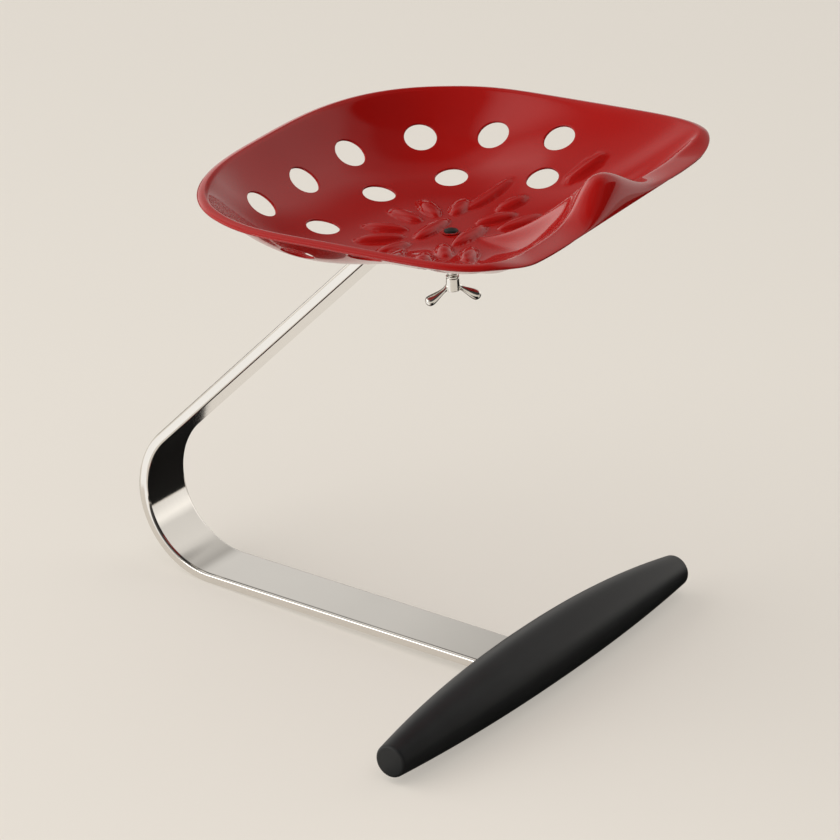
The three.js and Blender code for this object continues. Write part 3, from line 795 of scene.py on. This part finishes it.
def bar_path(bar):
    """Start, the two corners and the end of the bar's centre line."""
    centre_y, centre_z = BEND_DISTANCE + CROSSBAR_BACK, bar.bend_radius + bar.thickness / 2
    tongue = TONGUE_DEPTH + bar.thickness / 2
    corner = seat_matrix(0.0) @ Vector((0, TONGUE_REACH, -tongue))
    end = seat_matrix(0.0) @ Vector((0, -bar.width / 2, -tongue))
    away = hypot(corner.y - centre_y, corner.z - centre_z)
    rise = atan2(corner.z - centre_z, corner.y - centre_y) + asin(bar.bend_radius / away)
    fall, level = sin(LOWER_RUN_SLOPE), cos(LOWER_RUN_SLOPE)
    low = Vector((centre_y + bar.bend_radius * fall, centre_z - bar.bend_radius * level))
    run, climb = Vector((level, fall)), Vector((cos(rise), sin(rise)))
    # Where the lower run's line meets the upper run's line
    gap = Vector((corner.y, corner.z)) - low
    along = (gap.x * climb.y - gap.y * climb.x) / (run.x * climb.y - run.y * climb.x)
    bend = low + run * along
    start = low - run * ((low.x - (CROSSBAR_BACK - TENON)) / run.x)
    return (0, *start), (0, *bend), tuple(corner), tuple(end)


def tongue_cutter(name, outline, low=-0.035, high=-0.005):
    """A prism through the tongue, over an outline about the bolt that runs anticlockwise."""
    count = len(outline)
    places = [(x, y, z) for z in (low, high) for x, y in outline]
    faces = [range(count)[::-1], range(count, 2 * count)]
    faces += [(i, (i + 1) % count, (i + 1) % count + count, i + count) for i in range(count)]
    return mesh_piece(name, places, faces, matrix=seat_matrix(0.0))


def ease_edges(piece, radius):
    """Rounds the sharp edges and keeps the flats flat."""
    limits = {"limit_method": "ANGLE", "angle_limit": radians(50), "use_clamp_overlap": False}
    add_modifier(piece, "Round", "BEVEL", width=radius, segments=6, **limits)
    add_modifier(piece, "Weigh", "WEIGHTED_NORMAL", mode="FACE_AREA", weight=90, keep_sharp=True)
    for face in piece.data.polygons:
        face.use_smooth = True
    baked(piece)


class STOOL_OT_bar(Operator):
    """Make the polished bent bar"""

    bl_idname = "stool.bar"
    bl_label = "Bent bar"

    def execute(self, context):
        bar = context.scene.stool_bar
        values = dict(zip(BAR_CORNERS, bar_path(bar)))
        values["Material"] = polished_plate("polished_bar", bar.tint, (90.0, 2.5, 2.5), (0.045, 0.12))
        piece = grown("bent_bar", bar_tree(), values, bar)
        # The tongue's end is cut round about the bolt, and bored
        radius, far = bar.width / 2, bar.width
        arc = [(-radius * cos(a), -radius * sin(a)) for a in np.linspace(0, pi, 61)]
        corners = [(-far, 0.0), (-far, -far), (far, -far), (far, 0.0)]
        cut_away(piece, tongue_cutter("end_cutter", corners + arc[::-1]))
        around = np.arange(48) * pi / 24
        bore = [(TONGUE_HOLE_RADIUS * cos(a), TONGUE_HOLE_RADIUS * sin(a)) for a in around]
        cut_away(piece, tongue_cutter("hole_cutter", bore))
        ease_edges(piece, bar.edge_radius)
        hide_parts("stem")
        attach(piece, "base")
        return {"FINISHED"}


class STOOL_OT_crossbar(Operator):
    """Make the black turned crossbar"""

    bl_idname = "stool.crossbar"
    bl_label = "Turned crossbar"

    def execute(self, context):
        sizes = context.scene.stool_crossbar
        piece = grown("turned_crossbar", spindle_tree(), {"Material": satin_black(sizes.paint)}, sizes)
        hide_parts("crossbar")
        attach(piece, "base")
        return {"FINISHED"}


class STOOL_OT_bolt(Operator):
    """Make the threaded bolt through the seat"""

    bl_idname = "stool.bolt"
    bl_label = "Seat bolt"

    def execute(self, context):
        tint = context.scene.stool_bar.tint
        plate = polished_plate("bright_thread", tint, (400.0,) * 3, (0.16, 0.32))
        stud = grown("threaded_stud", thread_tree(), {"Bottom": -0.0555, "Top": -0.002, "Material": plate})
        stud.data.transform(seat_matrix())
        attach(stud, "seat")
        radius, side, dome, top = 0.0067, 0.0022, 0.0018, 0.004
        profile = [(0.0, 0.0016), (0.0065, 0.0016), (radius, 0.0018)]
        profile += [(radius * cos(a), side + dome * sin(a)) for a in quarter_turn(10)[:-1]]
        # The head is near black in place of the shaded gap round the bolt: painted shade
        steel = dull_finish("blackened_steel", (0.02, 0.019, 0.018), 0.4, 260.0, 0.6)
        head = turned_mesh("bolt_head", profile + [(0.0, top)], 48, steel, seat_matrix())
        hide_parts("seat_bolt")
        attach(head, "seat")
        return {"FINISHED"}


# The wing nut, from the pan's boss down, and how it was left turned
NUT_TOP, NUT_HEIGHT, NUT_BORE_RADIUS, NUT_TURN = -0.0436, 0.013, 0.0053, radians(-42)


def cast(piece, voxel=0.00032):
    """Melts joined forms into one casting with soft inner corners."""
    add_modifier(piece, "Melt", "REMESH", mode="VOXEL", voxel_size=voxel, use_smooth_shade=True)
    add_modifier(piece, "Ease", "SMOOTH", factor=0.6, iterations=6)
    baked(piece)


def wing_profile(length, tip, neck, root):
    """Radius and height along a wing: thick at its root, thin at its neck and round at its tip."""
    waist = length * 0.36
    profile = [(0.0, 0.0)]
    for share in np.linspace(0.0, 1.0, 10):
        profile.append((between(float(smooth(share)), root, neck), waist * share))
    for share in np.linspace(0.0, 1.0, 16)[1:]:
        profile.append((between(float(smooth(share)), neck, tip), between(share, waist, length)))
    profile += [(tip * cos(a), length + tip * sin(a)) for a in quarter_turn(10)[1:-1]]
    return profile + [(0.0, length + tip)]


class STOOL_OT_wing_nut(Operator):
    """Make the cast wing nut"""

    bl_idname = "stool.wing_nut"
    bl_label = "Wing nut"

    def execute(self, context):
        plate = polished_plate("cast_nut", context.scene.stool_bar.tint, (60.0,) * 3, (0.07, 0.16), 0.05)
        reach, drop = 0.022, 0.014
        lean = Matrix.Rotation(pi / 2 + atan2(drop, reach), 4, "Y")
        middle = Matrix.Translation((0, 0, NUT_TOP - NUT_HEIGHT / 2))
        profile = wing_profile(hypot(reach, drop), tip=0.0051, neck=0.0025, root=0.005)
        wing = turned_mesh("wing_form", profile, 32, plate, middle @ lean)
        foot = NUT_TOP - NUT_HEIGHT
        hub_foot = [(0.0, foot), (0.0058, foot), (0.0064, foot), (0.0067, foot + 0.0004)]
        hub_top = [(0.0063, NUT_TOP - 0.0005), (0.006, NUT_TOP), (0.0056, NUT_TOP), (0.0, NUT_TOP)]
        hub = turned_mesh("hub_form", hub_foot + hub_top, 64, plate)
        nut = grown("cast_wing_nut", wings_tree(), {"Wing": wing, "Hub": hub, "Material": plate})
        for form in (wing, hub):
            bpy.data.objects.remove(form)
        cast(nut)
        low, high = foot - 0.002, NUT_TOP + 0.002
        bore = [(0.0, low), (NUT_BORE_RADIUS, low), (NUT_BORE_RADIUS, high), (0.0, high)]
        cut_away(nut, turned_mesh("bore_form", bore, 48, plate))
        edit_mesh(nut, crease_edges)
        nut.data.transform(seat_matrix() @ Matrix.Rotation(NUT_TURN, 4, "Z"))
        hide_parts("wing_nut")
        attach(nut, "nut")
        return {"FINISHED"}


class STOOL_OT_fixings(Operator):
    """Finish the lower washer, bush, buffer and screws"""

    bl_idname = "stool.fixings"
    bl_label = "Fixings"

    def execute(self, context):
        tint = context.scene.stool_bar.tint
        finishes = {
            "rubber_buffer": dull_finish("black_rubber", (0.018, 0.018, 0.018), 0.72, 380.0),
            "pivot_bush": dull_finish("pale_nylon", (0.72, 0.69, 0.61), 0.45, 300.0, 0.0, 0.05),
            "nut_washer": polished_plate("bright_washer", tint, (200.0,) * 3, (0.1, 0.22)),
        }
        screw = dull_finish("black_screw", (0.02, 0.02, 0.021), 0.38, 420.0, 0.7)
        finishes["crossbar_screw_left"] = finishes["crossbar_screw_right"] = screw
        for name, material in finishes.items():
            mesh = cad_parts[name].data
            mesh.materials.clear()
            mesh.materials.append(material)
        return {"FINISHED"}


# The studio. What the reflections meet round the room: bearing in degrees and brightness, then height and brightness
ROOM = [
    (-180, 0.3), (-152, 0.05), (-60, 0.03), (-47, 0.03), (-43, 0.8), (-8, 0.88), (12, 0.62), (30, 0.42), (46, 0.44),
    (58, 0.7), (68, 0.98), (80, 0.8), (85, 0.55), (95, 0.8), (110, 0.95), (126, 0.8), (150, 0.6), (180, 0.3),
]
ROOM_HEIGHT = [
    (0.0, 1.0), (0.26, 0.95), (0.4, 0.62), (0.67, 0.62), (0.75, 0.33), (0.82, 0.28), (0.88, 0.075), (1.0, 0.05)
]
ROOM_STRENGTH = 1.6
WALL_TINT = (1.0, 0.965, 0.915)
BACKDROP = (0.761, 0.708, 0.638)
# The floor's half side and the reach of its fade, then shares of that reach and how far it has faded there
FLOOR_REACH, FADE_REACH = 30.0, 10.0
FLOOR_FADE = [(0.0, 0.0), (0.12, 0.0), (0.45, 0.75), (1.0, 1.0)]
LIGHT_COLOUR = (1.0, 0.97, 0.93)
# Soft lights: name, place, what it faces, size, power and whether reflections see it
LIGHTS = [
    ("key", (-3.4, 4.05, 3.4), (0, 0, 0.2), (8.0, 7.0), 315.0, False),
    ("top", (-0.4, -0.6, 4.0), (0, 0, 0.2), (4.5, 4.5), 80.0, False),
    ("strip", (-3.2, 1.9, 0.75), (0, 0, 0.45), (1.6, 0.9), 14.0, True),
]
# Cards that only reflections see, as painted reflections: name, whether it glows as a painted highlight rather than
# being dark as painted shade, and outline, just over the floor if it has no height
CARD_HEIGHT = 0.0008
CARDS = [
    # Dark cards: painted shade of the floor under the stool, and painted dark reflections of the room, seen in the
    # bar and the crossbar
    ("black_floor_card", False, [
        (0.03, 0.42), (0.03, -0.4), (0.36, -0.4), (0.6, -1.6), (2.6, -1.6), (2.6, -0.6), (0.42, 0.0), (0.25, 0.18),
        (0.17, 0.42),
    ]),
    ("black_front_card", False, [(-0.34, -0.8), (0.03, -0.8), (0.03, -0.18), (-0.34, -0.18)]),
    ("black_far_card", False, [(0.96, 1.15), (7.7, 9.2), (2.5, 11.7), (0.31, 1.47)]),
    ("black_side_card", False, [(0.33, -0.3, 0.69), (0.21, -0.48, 0.69), (0.21, -0.48, 1.1), (0.33, -0.3, 1.1)]),
    # A glowing card, which is no lamp: a painted highlight along the bar's side faces
    ("white_floor_card", True, [(-0.16, -0.1), (-0.16, 0.9), (-1.2, 1.4), (-1.2, 0.0)]),
]
# Soft spots that only reflections see, painted highlights and one painted dark reflection: name, centre, radius, how
# much of what is behind it a spot covers, and how bright it is
SPOTS = [
    ("run_spot", (1.13, 1.0, 0.6), 0.5, 0.22, 2.0),
    ("wall_spot", (-0.4, 1.42, 2.42), 0.75, 0.5, 2.0),
    ("dark_spot", (0.41, 0.24, 0.625), 0.17, 0.85, 0.0),
]
CAMERA_AIM = Vector((0.015082, -0.038572, 0.223556))
SQUARE = ((-1, -1), (1, -1), (1, 1), (-1, 1))


def studio_world():
    """A studio that only the light and the reflections know: pale walls ahead, a dark side and a dim ceiling."""
    world = bpy.data.worlds.new("studio")
    bpy.context.scene.world = world
    world.use_nodes = True
    world.node_tree.nodes.clear()
    graph = Graph(world.node_tree)
    east = x_part(graph, graph.add("ShaderNodeTexCoord", output="Generated"))
    north, height = east.other("Y"), east.other("Z")
    bearing = graph.add("ShaderNodeMath", {0: north, 1: east}, operation="ARCTAN2") / (2 * pi) + 0.5
    walls = ramp(graph, bearing, [(turn / 360 + 0.5, shade(WALL_TINT, level)) for turn, level in ROOM])
    fade = ramp(graph, height, ROOM_HEIGHT)
    colour = graph.add("ShaderNodeVectorMath", {0: walls, 1: fade}, operation="MULTIPLY")
    light = graph.add("ShaderNodeBackground", {"Color": colour, "Strength": ROOM_STRENGTH})
    backdrop = graph.add("ShaderNodeBackground", {"Color": (*BACKDROP, 1.0), "Strength": 1.0})
    straight = graph.add("ShaderNodeLightPath", output="Is Camera Ray")
    seen = graph.add("ShaderNodeMixShader", {0: straight, 1: light, 2: backdrop})
    graph.add("ShaderNodeOutputWorld", {"Surface": seen})


def soft_light(name, place, aim, size, power, reflected):
    data = bpy.data.lights.new(name, "AREA")
    data.shape = "RECTANGLE"
    data.size, data.size_y = size
    data.energy = power
    data.color = LIGHT_COLOUR
    light = new_object(name, data)
    light.location = place
    light.rotation_euler = (Vector(aim) - Vector(place)).to_track_quat("-Z", "Y").to_euler()
    light.visible_camera = False
    light.visible_glossy = reflected


def card(name, outline, material):
    """A flat card that only reflections see: a painted reflection, glowing or dark, that lights nothing and casts no
    shadow.
    """
    sheet = mesh_piece(name, outline, [range(len(outline))], material)
    sheet.visible_camera = sheet.visible_diffuse = sheet.visible_shadow = False


def spot(name, centre, radius, cover, strength):
    """A soft round spot that only reflections see, a painted highlight where bright and a painted dark reflection
    where black, that fades out to nothing.
    """
    graph = new_material(name)
    centred = {0: object_place(graph), 1: centre}
    away = graph.add("ShaderNodeVectorMath", centred, "Value", operation="DISTANCE") / radius
    mask = ramp(graph, away, [(0.0, cover), (0.5, cover * 0.75), (1.0, 0.0)])
    glow = graph.add("ShaderNodeEmission", {"Color": (1.0, 0.98, 0.95, 1.0), "Strength": strength})
    clear = graph.add("ShaderNodeBsdfTransparent")
    material = end_material(graph, graph.add("ShaderNodeMixShader", {0: mask, 1: clear, 2: glow}))
    centre = Vector(centre)
    facing = (Vector((0, 0, 0.3)) - centre).to_track_quat("Z", "Y")
    card(name, [centre + facing @ Vector((x * radius, y * radius, 0)) for x, y in SQUARE], material)


def studio_camera(stage):
    data = bpy.data.cameras.new("camera")
    data.lens = stage.lens
    data.clip_end = 100.0
    camera = new_object("camera", data)
    east, north = cos(stage.azimuth), sin(stage.azimuth)
    level = cos(stage.elevation)
    right, back = Vector((east, north, 0.0)), Vector((north * level, -east * level, sin(stage.elevation)))
    leaned = right * cos(stage.roll) + back.cross(right) * sin(stage.roll)
    turn = Matrix((leaned, back.cross(leaned), back)).transposed().to_4x4()
    camera.matrix_world = Matrix.Translation(CAMERA_AIM + back * stage.distance) @ turn
    bpy.context.scene.camera = camera


class STOOL_OT_stage(Operator):
    """Set up the floor, the lights and the camera"""

    bl_idname = "stool.stage"
    bl_label = "Studio"

    def execute(self, context):
        stage = context.scene.stool_stage
        graph = new_material("studio_floor")
        away = graph.add("ShaderNodeVectorMath", {0: object_place(graph)}, "Value", operation="LENGTH")
        # Far off the sheet turns from a lit floor into the backdrop's even glow
        fade = ramp(graph, away * (1 / FADE_REACH), FLOOR_FADE)
        lit = varied(graph, noise(graph, 1.3), stage.floor_colour, 0.985, 1.015)
        material = finish_material(graph, {
            "Base Color": mixed(graph, fade, lit, (0.0, 0.0, 0.0)),
            "Roughness": 0.9, "Specular IOR Level": 0.0,
            "Emission Color": mixed(graph, fade, stage.floor_glow, BACKDROP),
            "Emission Strength": 1.0,
        })
        corners = [(x * FLOOR_REACH, y * FLOOR_REACH, 0) for x, y in SQUARE]
        floor = mesh_piece("studio_floor_sheet", corners, [range(4)], material)
        studio_world()
        for light in LIGHTS:
            soft_light(*light)
        # Near-black material of the cards that paint shade and dark reflections
        dark = {"Base Color": (0.01, 0.01, 0.01, 1.0), "Roughness": 0.9, "Specular IOR Level": 0.0}
        black = finish_material(new_material("black_card"), dark)
        # Glowing material of the card that paints highlights in reflections
        graph = new_material("white_card")
        glow = {"Color": (1.0, 0.985, 0.96, 1.0), "Strength": 1.08}
        white = end_material(graph, graph.add("ShaderNodeEmission", glow))
        for name, is_painted_highlight, outline in CARDS:
            card(name, [(*place, CARD_HEIGHT)[:3] for place in outline], white if is_painted_highlight else black)
        for row in SPOTS:
            spot(*row)
        studio_camera(stage)
        context.scene.view_settings.view_transform = "Standard"
        context.scene.view_settings.look = "None"
        return {"FINISHED"}


class STOOL_PT_panel(Panel):
    bl_label = "Tractor seat stool"
    bl_idname = "STOOL_PT_panel"
    bl_space_type = "VIEW_3D"
    bl_region_type = "UI"
    bl_category = "Stool"

    def draw(self, context):
        for group in GROUPS:
            box = self.layout.box()
            settings = getattr(context.scene, group)
            for name in settings.__annotations__:
                box.prop(settings, name)
        for operator in OPERATORS:
            self.layout.operator(operator.bl_idname)


GROUPS = {"stool_pan": PanSizes, "stool_bar": BarSizes, "stool_crossbar": CrossbarSizes, "stool_stage": StageSettings}
OPERATORS = (
    STOOL_OT_stage, STOOL_OT_pan, STOOL_OT_bar, STOOL_OT_crossbar, STOOL_OT_bolt, STOOL_OT_wing_nut, STOOL_OT_fixings
)


def register():
    for group, settings in GROUPS.items():
        bpy.utils.register_class(settings)
        setattr(bpy.types.Scene, group, PointerProperty(type=settings))
    for kind in (*OPERATORS, STOOL_PT_panel):
        bpy.utils.register_class(kind)


def unregister():
    for kind in (STOOL_PT_panel, *reversed(OPERATORS)):
        bpy.utils.unregister_class(kind)
    for group, settings in reversed(GROUPS.items()):
        delattr(bpy.types.Scene, group)
        bpy.utils.unregister_class(settings)


def main():
    register()
    for operator in OPERATORS:
        family, name = operator.bl_idname.split(".")
        getattr(getattr(bpy.ops, family), name)()


if __name__ == "__main__":
    main()
